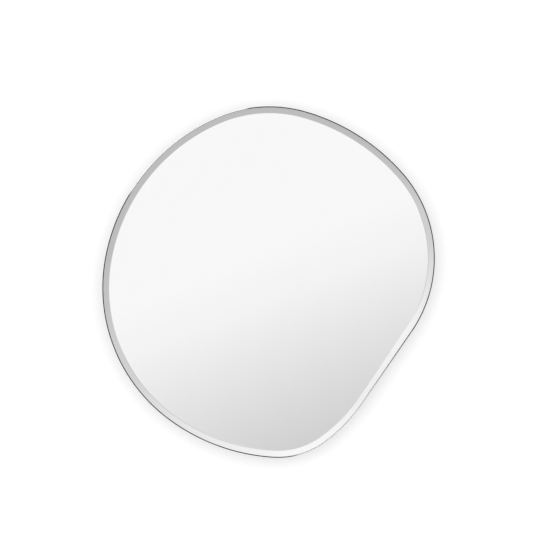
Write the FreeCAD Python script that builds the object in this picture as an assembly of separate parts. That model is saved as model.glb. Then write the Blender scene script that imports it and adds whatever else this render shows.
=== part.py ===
"""Wall mirror with an irregular, pebble-like outline, a ground bevel, a slim metal rim and a hanging rail.

Sizes are in millimetres. +X is to the right as the mirror is seen from the room, +Z is up, and the
room is on the -Y side. The wall is the plane y = 0. The origin is the middle of the wall rail's line
of screws, straight above the middle of the mirror's area, so that the mirror hangs level.
"""
import FreeCAD, Part
import math
import os
from dataclasses import dataclass

from FreeCAD import Vector

# Outline: the outer edge of the rim, followed clockwise as seen from the room. Each arc is tangent
# to the next. The radius of the left arc and the length of the straight run close the loop.
ARCS = {  # name: (radius, turn in degrees)
    "top": (225.0, 39.5),
    "upper_right": (349.0, 32.5),
    "right": (221.0, 76.0),
    "lower_right": (271.0, 19.0),
    "bottom": (137.0, 40.0),
    "lower_left": (333.0, 33.0),
    "left": (None, 63.5),
    "upper_left": (326.0, 56.5),
}
STRAIGHT_AFTER = "right"
TOP_ARC_HEADING = 23.5  # degrees above the horizontal where the top arc begins
RAIL_DROP = 150.0  # from the highest point of the outline down to the line of wall screws

# Layers, counted from the wall towards the room.
WALL_GAP = 6.0  # between the wall and the back of the board
BOARD_THICKNESS = 12.0
TAPE_THICKNESS = 1.0
FILM_THICKNESS = 0.2
COATING_THICKNESS = 0.1  # the silver, and the paint that seals it
GLASS_THICKNESS = 5.0
GLASS_EDGE_THICKNESS = 3.0
BEVEL_WIDTH = 10.0

# Rim: a strip bent to the outline and closed by a plate behind its joint.
RIM_THICKNESS = 1.5
RIM_BACK_GAP = 4.5  # between the wall and the rim
RIM_STANDS_PROUD = 0.5  # of the outer edge of the bevel
RIM_ROUNDING = 1.35  # of its outer edge, towards the room
RIM_JOINT_WIDTH = 0.2
SPLICE_LENGTH = 60.0
SPLICE_HEIGHT = 9.0
SPLICE_THICKNESS = 1.5

# Clearances inside the rim.
GLASS_CLEARANCE = 0.25
FILM_SETBACK = 1.0  # from the edge of the glass
BOARD_CLEARANCE = 0.15
SPLICE_CLEARANCE = 0.5  # all round the splice plate, in the board's notch

# Tabs that hold the board in the rim, each in the middle of an arc.
TAB_ARCS = ("top", "upper_right", "right", "lower_right", "lower_left", "left", "upper_left")
TAB_WIDTH = 20.0
TAB_REACH = 22.0
TAB_THICKNESS = 1.5
TAB_HOLE_REACH = 13.0
TAB_CORNER_RADIUS = 4.0

# Hanging rails: two alike step-shaped profiles, one upside down, whose lips hook into each other.
RAIL_THICKNESS = 2.5
WALL_RAIL_LENGTH = 300.0
MIRROR_RAIL_LENGTH = 200.0
LIP_PLAY = 0.25  # between a lip and the wall or the board that it faces
FLANGE_BELOW_SCREWS = 10.0
SCREWS_TO_WEB = 5.5
LIP_HEIGHT = 12.0
LIFT_PLAY = 2.0  # between the top of the wall rail's lip and the web of the mirror rail
MIRROR_FLANGE_HEIGHT = 24.0
WALL_HOLE_RADIUS = 2.5
WALL_HOLE_SINK_RADIUS = 4.1
WALL_HOLE_SPACINGS = (250.0, 100.0)
MIRROR_RAIL_SCREW_SPACINGS = (160.0, 60.0)
MIRROR_RAIL_SCREW_HEIGHT = 14.0  # above the web of the mirror rail

# Screws into the board, all of one size.
SCREW_LENGTH = 12.0
SCREW_RADIUS = 1.9
SCREW_HEAD_RADIUS = 3.6
SCREW_HEAD_HEIGHT = 2.2
SCREW_HEAD_EDGE = 0.8
SCREW_TIP_LENGTH = 3.0
SCREW_HOLE_RADIUS = 2.2
PILOT_RADIUS = 1.95
PILOT_DEPTH = 11.0  # into the board

# Rubber feet that keep the lower half off the wall.
FOOT_OFFSET = 110.0  # to each side of the middle
FOOT_DROP = 320.0  # below the wall screws
FOOT_BASE_RADIUS = 12.0
FOOT_FACE_RADIUS = 10.5
FOOT_RECESS_RADIUS = 4.6
FOOT_RECESS_DEPTH = 3.2

# Upright strips of foam tape and beads of glue that hold the glass on the board.
TAPE_WIDTH = 25.0
TAPES = {  # x of the middle, lower end, upper end
    "tape_far_left": (-180.0, -240.0, -20.0),
    "tape_left": (-75.0, -390.0, 75.0),
    "tape_right": (75.0, -390.0, 75.0),
    "tape_far_right": (180.0, -190.0, 20.0),
}
GLUE_WIDTH = 8.0
GLUE_BEADS = {
    "glue_bead_left": (-128.0, -300.0, 30.0),
    "glue_bead_middle": (0.0, -400.0, 90.0),
    "glue_bead_right": (128.0, -300.0, 50.0),
}

# Pads between the lower edge of the glass and the rim.
EDGE_PADS = {  # the stretch of the outline, and how far along it the pad lies
    "edge_pad_right": ("lower_right", 0.8),
    "edge_pad_middle": ("bottom", 0.75),
    "edge_pad_left": ("lower_left", 0.6),
}
EDGE_PAD_LENGTH = 30.0
EDGE_PAD_HEIGHT = 2.4

# Places along Y that follow from the layers.
BOARD_BACK = -WALL_GAP
BOARD_FRONT = BOARD_BACK - BOARD_THICKNESS
FILM_BACK = BOARD_FRONT - TAPE_THICKNESS
PAINT_BACK = FILM_BACK - FILM_THICKNESS
SILVER_BACK = PAINT_BACK - COATING_THICKNESS
GLASS_BACK = SILVER_BACK - COATING_THICKNESS
BEVEL_FOOT = GLASS_BACK - GLASS_EDGE_THICKNESS
GLASS_FRONT = GLASS_BACK - GLASS_THICKNESS
RIM_BACK = -RIM_BACK_GAP
RIM_FRONT = BEVEL_FOOT - RIM_STANDS_PROUD
SPLICE_BACK = (BOARD_BACK + BOARD_FRONT + SPLICE_HEIGHT) / 2
SPLICE_FRONT = SPLICE_BACK - SPLICE_HEIGHT

# Insets from the outline.
GLASS_INSET = RIM_THICKNESS + GLASS_CLEARANCE
BOARD_INSET = RIM_THICKNESS + BOARD_CLEARANCE

TOWARDS_WALL = Vector(0, 1, 0)
BEYOND = 5.0  # how far a cutting shape runs past what it cuts
NEAR = 0.01  # an edge this close to a plane lies on it


def outward(heading):
    """Which way is out of the outline, where it runs at this heading."""
    return Vector(-math.sin(heading), 0, math.cos(heading))


def along(heading):
    """The direction in which the outline runs at this heading."""
    return Vector(math.cos(heading), 0, math.sin(heading))


@dataclass
class Arc:
    """A stretch of the outline that bends clockwise round a centre. Angles are in radians."""

    centre: Vector
    radius: float
    heading: float
    turn: float

    def heading_at(self, fraction):
        return self.heading - self.turn * fraction

    def point(self, fraction, inset=0.0, y=0.0):
        reach = outward(self.heading_at(fraction)) * (self.radius - inset)
        return self.centre + reach + Vector(0, y, 0)

    def edge(self, inset, y):
        return Part.Arc(*[self.point(fraction, inset, y) for fraction in (0, 0.5, 1)]).toShape()

    def moved(self, shift):
        return Arc(self.centre + shift, self.radius, self.heading, self.turn)


@dataclass
class Straight:
    """A straight stretch of the outline."""

    start: Vector
    heading: float
    length: float

    def heading_at(self, fraction):
        return self.heading

    def point(self, fraction, inset=0.0, y=0.0):
        forward = along(self.heading) * (self.length * fraction)
        return self.start + forward - outward(self.heading) * inset + Vector(0, y, 0)

    def edge(self, inset, y):
        return Part.LineSegment(self.point(0, inset, y), self.point(1, inset, y)).toShape()

    def moved(self, shift):
        return Straight(self.start + shift, self.heading, self.length)


def arc_reach(heading, turn):
    """From the start of an arc of radius 1 to its end."""
    return outward(heading - turn) - outward(heading)


def closing_sizes():
    """The left arc's radius and the straight run's length with which the outline closes."""
    heading = math.radians(TOP_ARC_HEADING)
    gap = Vector()
    for name, (radius, degrees) in ARCS.items():
        turn = math.radians(degrees)
        if radius is None:
            left = arc_reach(heading, turn)
        else:
            gap += arc_reach(heading, turn) * radius
        heading -= turn
        if name == STRAIGHT_AFTER:
            run = along(heading)
    spread = left.x * run.z - left.z * run.x
    radius = (run.x * gap.z - run.z * gap.x) / spread
    length = (left.z * gap.x - left.x * gap.z) / spread
    return radius, length


def traced_outline():
    """The stretches of the outline by name, with the top arc starting at the origin."""
    left_radius, straight_length = closing_sizes()
    stretches = {}
    position = Vector()
    heading = math.radians(TOP_ARC_HEADING)
    for name, (radius, degrees) in ARCS.items():
        radius = radius or left_radius
        centre = position - outward(heading) * radius
        stretches[name] = Arc(centre, radius, heading, math.radians(degrees))
        position = stretches[name].point(1)
        heading = stretches[name].heading_at(1)
        if name == STRAIGHT_AFTER:
            stretches["straight"] = Straight(position, heading, straight_length)
            position = stretches["straight"].point(1)
    return stretches


def loop(stretches, inset, y):
    """The outline as a closed wire, moved inwards by inset, at this distance from the wall."""
    return Part.Wire([stretch.edge(inset, y) for stretch in stretches.values()])


def placed_outline():
    """The outline with the middle of its area below the origin and its top RAIL_DROP above it."""
    stretches = traced_outline()
    area = Part.Face(loop(stretches, 0.0, 0.0))
    shift = Vector(-area.CenterOfMass.x, 0, RAIL_DROP - area.optimalBoundingBox(False, False).ZMax)
    return {name: stretch.moved(shift) for name, stretch in stretches.items()}


OUTLINE = placed_outline()


def slab(inset, back, front):
    """A plate with the outline's shape, between two distances from the wall."""
    return Part.Face(loop(OUTLINE, inset, back)).extrude(Vector(0, front - back, 0))


def block(x_range, y_range, z_range):
    """A box between the two ends of each range."""
    low = Vector(x_range[0], y_range[0], z_range[0])
    size = [end - start for start, end in (x_range, y_range, z_range)]
    return Part.makeBox(*size, low)


def turned(block_shape, point, heading):
    """A shape drawn with +X along the outline and +Z out of it, put at a point of the outline."""
    placed = block_shape.copy()
    placed.rotate(Vector(), Vector(0, -1, 0), math.degrees(heading))
    placed.translate(point)
    return placed


def spun(profile, x, z):
    """A solid of revolution on an axis square to the wall, from (radius, y) points."""
    points = [Vector(x + radius, y, z) for radius, y in profile]
    face = Part.Face(Part.makePolygon(points + points[:1]))
    return face.revolve(Vector(x, 0, z), TOWARDS_WALL, 360)


def drill(radius, back, front, x, z):
    """A round bit square to the wall."""
    return Part.makeCylinder(radius, back - front, Vector(x, front, z), TOWARDS_WALL)


def mirrored(spacings):
    """Places to the left and right of the middle, for each spacing."""
    return [side * spacing / 2 for spacing in spacings for side in (-1, 1)]


# ---- Glass and what is coated or glued on it ----


def mirror_glass():
    """Float glass with a flat face, a ground bevel all round and a straight polished edge."""
    edge = slab(GLASS_INSET, GLASS_BACK, BEVEL_FOOT)
    foot = loop(OUTLINE, GLASS_INSET, BEVEL_FOOT)
    face = loop(OUTLINE, GLASS_INSET + BEVEL_WIDTH, GLASS_FRONT)
    bevel = Part.makeLoft([foot, face], True, True)
    return edge.fuse(bevel)


def strips(places, width):
    """Upright strips between the board and the film, by name."""
    return {
        name: block((x - width / 2, x + width / 2), (FILM_BACK, BOARD_FRONT), (low, high))
        for name, (x, low, high) in places.items()
    }


def edge_pad(stretch, fraction):
    """A soft pad that fills the clearance between the glass and the rim."""
    half = EDGE_PAD_LENGTH / 2
    middle = (GLASS_BACK + BEVEL_FOOT) / 2
    depth = (middle - EDGE_PAD_HEIGHT / 2, middle + EDGE_PAD_HEIGHT / 2)
    clearance = slab(RIM_THICKNESS, depth[1], depth[0]).cut(slab(GLASS_INSET, depth[1], depth[0]))
    cutter = block((-half, half), depth, (-BEYOND, BEYOND))
    point = stretch.point(fraction, RIM_THICKNESS)
    return clearance.common(turned(cutter, point, stretch.heading_at(fraction)))


# ---- Rim ----


def rim():
    """The bent strip, its outer front edge rounded and its two ends butted in the straight run."""
    outside = slab(0.0, RIM_BACK, RIM_FRONT)
    front_edges = [edge for edge in outside.Edges if edge.BoundBox.YMax < RIM_FRONT + NEAR]
    band = outside.makeFillet(RIM_ROUNDING, front_edges).cut(slab(RIM_THICKNESS, RIM_BACK, RIM_FRONT))
    half = RIM_JOINT_WIDTH / 2
    gap = block((-half, half), (RIM_FRONT - BEYOND, RIM_BACK + BEYOND), (-BEYOND, BEYOND))
    straight = OUTLINE["straight"]
    return band.cut(turned(gap, straight.point(0.5), straight.heading))


def behind_joint(shape):
    """A shape put on the inside of the rim, in the middle of the straight run."""
    straight = OUTLINE["straight"]
    return turned(shape, straight.point(0.5, RIM_THICKNESS), straight.heading)


def splice_plate():
    """A flat plate that bridges the rim's joint from inside."""
    half = SPLICE_LENGTH / 2
    return behind_joint(block((-half, half), (SPLICE_FRONT, SPLICE_BACK), (-SPLICE_THICKNESS, 0)))


def splice_notch():
    """What is routed out of the board's edge, open at its back, so that it slides in over the plate."""
    half = SPLICE_LENGTH / 2 + SPLICE_CLEARANCE
    depth = (SPLICE_FRONT - SPLICE_CLEARANCE, BOARD_BACK + BEYOND)
    return behind_joint(block((-half, half), depth, (-SPLICE_THICKNESS - SPLICE_CLEARANCE, BEYOND)))


def tab_screw_place(arc):
    """Where the screw of the tab in the middle of an arc goes."""
    return arc.point(0.5, RIM_THICKNESS + TAB_HOLE_REACH)


def tab(arc):
    """A plate welded to the inside of the rim, which lies on the back of the board."""
    half = TAB_WIDTH / 2
    plate = block((-half, half), (BOARD_BACK, RIM_BACK), (-TAB_REACH, BEYOND))
    corners = [
        edge
        for edge in plate.Edges
        if edge.BoundBox.ZMax < -TAB_REACH + NEAR and edge.BoundBox.YLength > TAB_THICKNESS / 2
    ]
    plate = plate.makeFillet(TAB_CORNER_RADIUS, corners)
    plate = turned(plate, arc.point(0.5, RIM_THICKNESS), arc.heading_at(0.5))
    plate = plate.common(slab(RIM_THICKNESS, RIM_BACK, BOARD_BACK))
    hole = tab_screw_place(arc)
    return plate.cut(drill(SCREW_HOLE_RADIUS, RIM_BACK, BOARD_BACK, hole.x, hole.z))


# ---- Hanging rails ----

LIP_FRONT = -WALL_GAP + LIP_PLAY  # front of the wall rail's lip
LIP_BACK = LIP_FRONT + RAIL_THICKNESS
SLOT_FLOOR = SCREWS_TO_WEB + RAIL_THICKNESS
LIP_TOP = SLOT_FLOOR + LIP_HEIGHT
MIRROR_WEB = LIP_TOP + LIFT_PLAY  # underside of the mirror rail's web
MIRROR_RAIL_SCREWS_Z = MIRROR_WEB + MIRROR_RAIL_SCREW_HEIGHT


def extruded(profile, length):
    """A bar along X from the (y, z) points of its section."""
    points = [Vector(-length / 2, y, z) for y, z in profile]
    return Part.Face(Part.makePolygon(points + points[:1])).extrude(Vector(length, 0, 0))


def wall_rail():
    """The rail screwed to the wall: a flange, a step away from the wall, and a lip that points up."""
    profile = [
        (0, -FLANGE_BELOW_SCREWS),
        (0, SLOT_FLOOR),
        (LIP_BACK, SLOT_FLOOR),
        (LIP_BACK, LIP_TOP),
        (LIP_FRONT, LIP_TOP),
        (LIP_FRONT, SCREWS_TO_WEB),
        (-RAIL_THICKNESS, SCREWS_TO_WEB),
        (-RAIL_THICKNESS, -FLANGE_BELOW_SCREWS),
    ]
    rail = extruded(profile, WALL_RAIL_LENGTH)
    sink_depth = WALL_HOLE_SINK_RADIUS - WALL_HOLE_RADIUS
    for x in mirrored(WALL_HOLE_SPACINGS):
        rail = rail.cut(drill(WALL_HOLE_RADIUS, BEYOND, -BEYOND, x, 0))
        mouth = Vector(x, -RAIL_THICKNESS, 0)
        sink = Part.makeCone(WALL_HOLE_SINK_RADIUS, WALL_HOLE_RADIUS, sink_depth, mouth, TOWARDS_WALL)
        rail = rail.cut(sink)
    return rail


def mirror_rail():
    """The rail screwed to the board: the same steps upside down, its lip behind the wall rail's."""
    flange_back = BOARD_BACK + RAIL_THICKNESS
    lip_back = -LIP_PLAY
    profile = [
        (BOARD_BACK, MIRROR_WEB),
        (BOARD_BACK, MIRROR_WEB + MIRROR_FLANGE_HEIGHT),
        (flange_back, MIRROR_WEB + MIRROR_FLANGE_HEIGHT),
        (flange_back, MIRROR_WEB + RAIL_THICKNESS),
        (lip_back, MIRROR_WEB + RAIL_THICKNESS),
        (lip_back, SLOT_FLOOR),
        (lip_back - RAIL_THICKNESS, SLOT_FLOOR),
        (lip_back - RAIL_THICKNESS, MIRROR_WEB),
    ]
    rail = extruded(profile, MIRROR_RAIL_LENGTH)
    for x in mirrored(MIRROR_RAIL_SCREW_SPACINGS):
        rail = rail.cut(drill(SCREW_HOLE_RADIUS, flange_back, BOARD_BACK, x, MIRROR_RAIL_SCREWS_Z))
    return rail


# ---- Feet, screws and board ----

FOOT_PLACES = {
    "foot_left": (-FOOT_OFFSET, -FOOT_DROP),
    "foot_right": (FOOT_OFFSET, -FOOT_DROP),
}


def foot(x, z):
    """A rubber foot, with a recess for its screw in the face that meets the wall."""
    profile = [
        (SCREW_HOLE_RADIUS, BOARD_BACK),
        (FOOT_BASE_RADIUS, BOARD_BACK),
        (FOOT_FACE_RADIUS, 0),
        (FOOT_RECESS_RADIUS, 0),
        (FOOT_RECESS_RADIUS, -FOOT_RECESS_DEPTH),
        (SCREW_HOLE_RADIUS, -FOOT_RECESS_DEPTH),
    ]
    return spun(profile, x, z)


def screw(x, seat, z):
    """A pan-head screw driven away from the wall, its head resting on the seat."""
    top = seat + SCREW_HEAD_HEIGHT
    end = seat - SCREW_LENGTH
    profile = [
        (0, top),
        (SCREW_HEAD_RADIUS - SCREW_HEAD_EDGE, top),
        (SCREW_HEAD_RADIUS, top - SCREW_HEAD_EDGE),
        (SCREW_HEAD_RADIUS, seat),
        (SCREW_RADIUS, seat),
        (SCREW_RADIUS, end + SCREW_TIP_LENGTH),
        (0, end),
    ]
    return spun(profile, x, z)


def screw_places():
    """Each group of screws by name, as (x, seat, z) places."""
    tabs = [tab_screw_place(OUTLINE[name]) for name in TAB_ARCS]
    return {
        "tab_screws": [(place.x, RIM_BACK, place.z) for place in tabs],
        "mirror_rail_screws": [
            (x, BOARD_BACK + RAIL_THICKNESS, MIRROR_RAIL_SCREWS_Z)
            for x in mirrored(MIRROR_RAIL_SCREW_SPACINGS)
        ],
        "foot_screws": [(x, -FOOT_RECESS_DEPTH, z) for x, z in FOOT_PLACES.values()],
    }


def backing_board():
    """The board that carries the glass, notched for the splice plate and drilled for every screw."""
    board = slab(BOARD_INSET, BOARD_BACK, BOARD_FRONT).cut(splice_notch())
    bottom = BOARD_BACK - PILOT_DEPTH
    for places in screw_places().values():
        for x, _, z in places:
            board = board.cut(drill(PILOT_RADIUS, BOARD_BACK, bottom, x, z))
    return board


def all_pieces():
    """Every piece of the mirror by name."""
    pieces = {
        "mirror_glass": mirror_glass(),
        "silver_coating": slab(GLASS_INSET, SILVER_BACK, GLASS_BACK),
        "backing_paint": slab(GLASS_INSET, PAINT_BACK, SILVER_BACK),
        "safety_film": slab(GLASS_INSET + FILM_SETBACK, FILM_BACK, PAINT_BACK),
        "backing_board": backing_board(),
        "rim": rim(),
        "splice_plate": splice_plate(),
        "wall_rail": wall_rail(),
        "mirror_rail": mirror_rail(),
    }
    pieces.update(strips(TAPES, TAPE_WIDTH))
    pieces.update(strips(GLUE_BEADS, GLUE_WIDTH))
    for name, (stretch, fraction) in EDGE_PADS.items():
        pieces[name] = edge_pad(OUTLINE[stretch], fraction)
    for name in TAB_ARCS:
        pieces[f"tab_{name}"] = tab(OUTLINE[name])
    for name, (x, z) in FOOT_PLACES.items():
        pieces[name] = foot(x, z)
    for name, places in screw_places().items():
        pieces[name] = Part.makeCompound([screw(*place) for place in places])
    return pieces


os.makedirs("parts", exist_ok=True)
for piece_name, shape in all_pieces().items():
    shape.exportStep(f"parts/{piece_name}.step")
    print(f"{piece_name:20s} {len(shape.Solids):2d} solid(s) {shape.Volume:12.1f} mm3")
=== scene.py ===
"""Looks of a wall mirror: an irregular, bevelled pane in a slim polished rim, on a pair of hooked rails.

Everything is in metres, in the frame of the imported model: +X to the right as seen from the room, +Z up,
the room on the -Y side and the wall at y = 0.
"""

import logging
import math
from collections.abc import Callable, Iterator
from dataclasses import dataclass, replace
from enum import Enum

import bmesh
import bpy
from mathutils import Matrix, Vector


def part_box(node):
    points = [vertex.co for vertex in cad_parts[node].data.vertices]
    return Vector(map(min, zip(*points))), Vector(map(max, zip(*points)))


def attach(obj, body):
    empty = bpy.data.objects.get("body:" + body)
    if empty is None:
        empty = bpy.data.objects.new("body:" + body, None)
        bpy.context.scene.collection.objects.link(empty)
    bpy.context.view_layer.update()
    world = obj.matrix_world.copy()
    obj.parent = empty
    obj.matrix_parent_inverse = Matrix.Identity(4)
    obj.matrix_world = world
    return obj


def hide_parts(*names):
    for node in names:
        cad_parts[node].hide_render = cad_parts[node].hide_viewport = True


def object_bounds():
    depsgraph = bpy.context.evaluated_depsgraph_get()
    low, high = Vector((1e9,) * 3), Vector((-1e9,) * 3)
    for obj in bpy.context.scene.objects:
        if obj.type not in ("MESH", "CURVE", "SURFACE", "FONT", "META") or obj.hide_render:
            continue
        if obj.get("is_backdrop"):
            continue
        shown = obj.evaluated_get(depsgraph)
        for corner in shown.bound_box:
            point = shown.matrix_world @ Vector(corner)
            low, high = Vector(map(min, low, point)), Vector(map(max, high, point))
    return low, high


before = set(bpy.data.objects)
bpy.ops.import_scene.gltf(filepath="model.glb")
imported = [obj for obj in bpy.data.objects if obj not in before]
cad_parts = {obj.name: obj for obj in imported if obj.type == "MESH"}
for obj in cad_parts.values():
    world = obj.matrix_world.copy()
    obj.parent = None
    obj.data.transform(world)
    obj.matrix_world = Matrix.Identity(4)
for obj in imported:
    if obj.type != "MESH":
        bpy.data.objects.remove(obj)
CAD_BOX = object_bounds()

MM = 0.001
LOG = logging.getLogger("wall_mirror")
TOWARDS_WALL = Vector((0, 1, 0))
RIM_THICKNESS = 1.5 * MM
MERGE_DISTANCE = 0.001 * MM  # points this close are one point


class Body(Enum):
    """The two rigid bodies of the model."""

    WALL = "wall"
    MIRROR = "mirror"


class Slot(Enum):
    """The record's material slots, one named for each new piece."""

    GLASS = "clear_glass"
    BOARD = "lacquered_board"
    RIM = "black_chrome"
    PLATE = "zinc_plate"
    RAIL = "anodised_aluminium"
    RUBBER = "black_rubber"
    SCREW = "zinc_screw"


# ---------------------------------------------------------------------------------------------------
# Shader nodes
# ---------------------------------------------------------------------------------------------------

Value = float | tuple | Vector | bpy.types.NodeSocket


class Nodes:
    """A short way to place and join the nodes of one tree."""

    def __init__(self, tree: bpy.types.NodeTree) -> None:
        """Args:
            tree: the node tree to work on.
        """
        self.tree = tree

    def add(
        self, kind: str, inputs: dict[str | int, Value] | None = None, **settings: object
    ) -> bpy.types.Node:
        """Places a node.

        Args:
            kind: the node's type name.
            inputs: a plain value or a socket to join for each named or numbered input.
            settings: the node's own properties.

        Returns:
            The node.
        """
        node = self.tree.nodes.new(kind)
        for name, setting in settings.items():
            setattr(node, name, setting)
        for key, value in (inputs or {}).items():
            if isinstance(value, bpy.types.NodeSocket):
                self.tree.links.new(value, node.inputs[key])
            else:
                node.inputs[key].default_value = value
        return node

    def join(self, source: bpy.types.NodeSocket, target: bpy.types.NodeSocket) -> None:
        """Joins an output to an input."""
        self.tree.links.new(source, target)

    def place(self) -> bpy.types.NodeSocket:
        """The place on the piece."""
        return self.add("ShaderNodeTexCoord").outputs["Object"]

    def effect(self, group: bpy.types.NodeTree, inputs: dict[str, float]) -> bpy.types.NodeSocket:
        """Places a shared effect.

        Args:
            group: the effect.
            inputs: this material's values for it.

        Returns:
            The effect's mask.
        """
        return self.add("ShaderNodeGroup", inputs, node_tree=group).outputs["Mask"]

    def math(self, operation: str, *values: Value) -> bpy.types.NodeSocket:
        """The result of a math node.

        Args:
            operation: the node's operation.
            values: its inputs, in order.

        Returns:
            The output socket.
        """
        return self.add("ShaderNodeMath", dict(enumerate(values)), operation=operation).outputs[0]

    def product(self, first: Value, second: Value) -> bpy.types.NodeSocket:
        """Two numbers multiplied."""
        return self.math("MULTIPLY", first, second)

    def angle(self, function: str, *values: Value) -> bpy.types.NodeSocket:
        """The result of an inverse angle function, in degrees."""
        return self.math("DEGREES", self.math(function, *values))

    def dot(self, vector: Value, axis: Value) -> bpy.types.NodeSocket:
        """The dot product of a vector and an axis."""
        node = self.add("ShaderNodeVectorMath", {0: vector, 1: axis}, operation="DOT_PRODUCT")
        return node.outputs["Value"]

    def step(self, value: Value, low: float, high: float) -> bpy.types.NodeSocket:
        """A smooth rise from 0 at low to 1 at high, or a fall where low is the larger.

        Args:
            value: what is compared.
            low: where the result is 0.
            high: where the result is 1.

        Returns:
            The output socket.
        """
        inputs = {"Value": value, "From Min": min(low, high), "From Max": max(low, high)}
        inputs |= {"To Min": float(low > high), "To Max": float(low < high)}
        return self.add("ShaderNodeMapRange", inputs, interpolation_type="SMOOTHSTEP").outputs["Result"]

    def mix(self, share: Value, first: Value, second: Value) -> bpy.types.NodeSocket:
        """A blend of two numbers.

        Args:
            share: how much of the second is taken, 0 to 1.
            first: the number at 0.
            second: the number at 1.

        Returns:
            The output socket.
        """
        return self.add("ShaderNodeMix", {0: share, 2: first, 3: second}, data_type="FLOAT").outputs[0]

    def mix_colour(self, share: Value, first: Value, second: Value) -> bpy.types.NodeSocket:
        """A blend of two colours.

        Args:
            share: how much of the second is taken, 0 to 1.
            first: the colour at 0.
            second: the colour at 1.

        Returns:
            The output socket.
        """
        return self.add("ShaderNodeMix", {0: share, 6: first, 7: second}, data_type="RGBA").outputs[2]

    def curve(self, value: Value, stops: dict[float, float]) -> bpy.types.NodeSocket:
        """A number that follows straight lines between named stops.

        Args:
            value: where on the curve to read.
            stops: the result at each place.

        Returns:
            The output socket.
        """
        places = sorted(stops)
        result: Value = stops[places[0]]
        for low, high in zip(places, places[1:]):
            inputs = {"Value": value, "From Min": low, "From Max": high, "To Min": 0.0}
            inputs["To Max"] = stops[high] - stops[low]
            rise = self.add("ShaderNodeMapRange", inputs, clamp=True).outputs["Result"]
            result = self.math("ADD", rise, result)
        return result


def grey(level: float) -> tuple[float, float, float, float]:
    """A neutral colour of this linear level."""
    return (level, level, level, 1.0)


def effect_group(name: str, inputs: dict[str, float], build: Callable) -> bpy.types.NodeTree:
    """A shader node group with number inputs that puts out a mask, made once.

    Args:
        name: the group's name.
        inputs: the default of each named input.
        build: called with the group's Nodes and input node, and returns the mask's socket.

    Returns:
        The group.
    """
    group = bpy.data.node_groups.get(name)
    if group:
        return group
    group = bpy.data.node_groups.new(name, "ShaderNodeTree")
    for key, default in inputs.items():
        socket = group.interface.new_socket(name=key, in_out="INPUT", socket_type="NodeSocketFloat")
        socket.default_value = default
    group.interface.new_socket(name="Mask", in_out="OUTPUT", socket_type="NodeSocketFloat")
    nodes = Nodes(group)
    entry = nodes.add("NodeGroupInput")
    nodes.add("NodeGroupOutput", {"Mask": build(nodes, entry)})
    return group


def mottle_group() -> bpy.types.NodeTree:
    """Soft uneven patches, as in paint, plating and rubber: a mask around 0.5."""

    def build(nodes: Nodes, entry: bpy.types.Node) -> bpy.types.NodeSocket:
        """Places the group's nodes, and returns the mask."""
        scale = entry.outputs["Scale"]
        inputs = {"Vector": nodes.place(), "Scale": scale, "Detail": 5.0, "Roughness": 0.6}
        return nodes.add("ShaderNodeTexNoise", inputs).outputs["Fac"]

    return effect_group("mottle", {"Scale": 60.0}, build)


def drawn_lines_group() -> bpy.types.NodeTree:
    """Fine lines along X, as extruding or rolling leaves on metal: a mask from 0 to 1."""

    def build(nodes: Nodes, entry: bpy.types.Node) -> bpy.types.NodeSocket:
        """Places the group's nodes, and returns the mask."""
        stretch = nodes.add("ShaderNodeMapping", {"Vector": nodes.place(), "Scale": (0.01, 1.0, 1.0)})
        inputs = {"Vector": stretch.outputs[0], "Scale": entry.outputs["Lines per metre"], "Detail": 3.0}
        return nodes.add("ShaderNodeTexNoise", inputs).outputs["Fac"]

    return effect_group("drawn_lines", {"Lines per metre": 2500.0}, build)


def dust_group() -> bpy.types.NodeTree:
    """Specks of dust that gather in soft drifts: a mask from 0 to 1."""

    def build(nodes: Nodes, entry: bpy.types.Node) -> bpy.types.NodeSocket:
        """Places the group's nodes, and returns the mask."""
        place = nodes.place()
        specks = nodes.add("ShaderNodeTexNoise", {"Vector": place, "Scale": 1400.0, "Detail": 2.0})
        drifts = nodes.add("ShaderNodeTexNoise", {"Vector": place, "Scale": 14.0, "Detail": 3.0})
        dots = nodes.step(specks.outputs["Fac"], low=0.62, high=0.72)
        film = nodes.step(drifts.outputs["Fac"], low=0.40, high=0.75)
        return nodes.product(nodes.product(dots, film), entry.outputs["Amount"])

    return effect_group("dust", {"Amount": 0.5}, build)


def new_material(
    name: str, values: dict[str, Value]
) -> tuple[bpy.types.Material, Nodes, bpy.types.Node]:
    """A material with one Principled shader.

    Args:
        name: the material's name.
        values: the plain values of the shader's named inputs.

    Returns:
        The material, its nodes and the shader.
    """
    material = bpy.data.materials.new(name)
    material.use_nodes = True
    shader = material.node_tree.nodes["Principled BSDF"]
    for key, value in values.items():
        shader.inputs[key].default_value = value
    return material, Nodes(material.node_tree), shader


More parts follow.
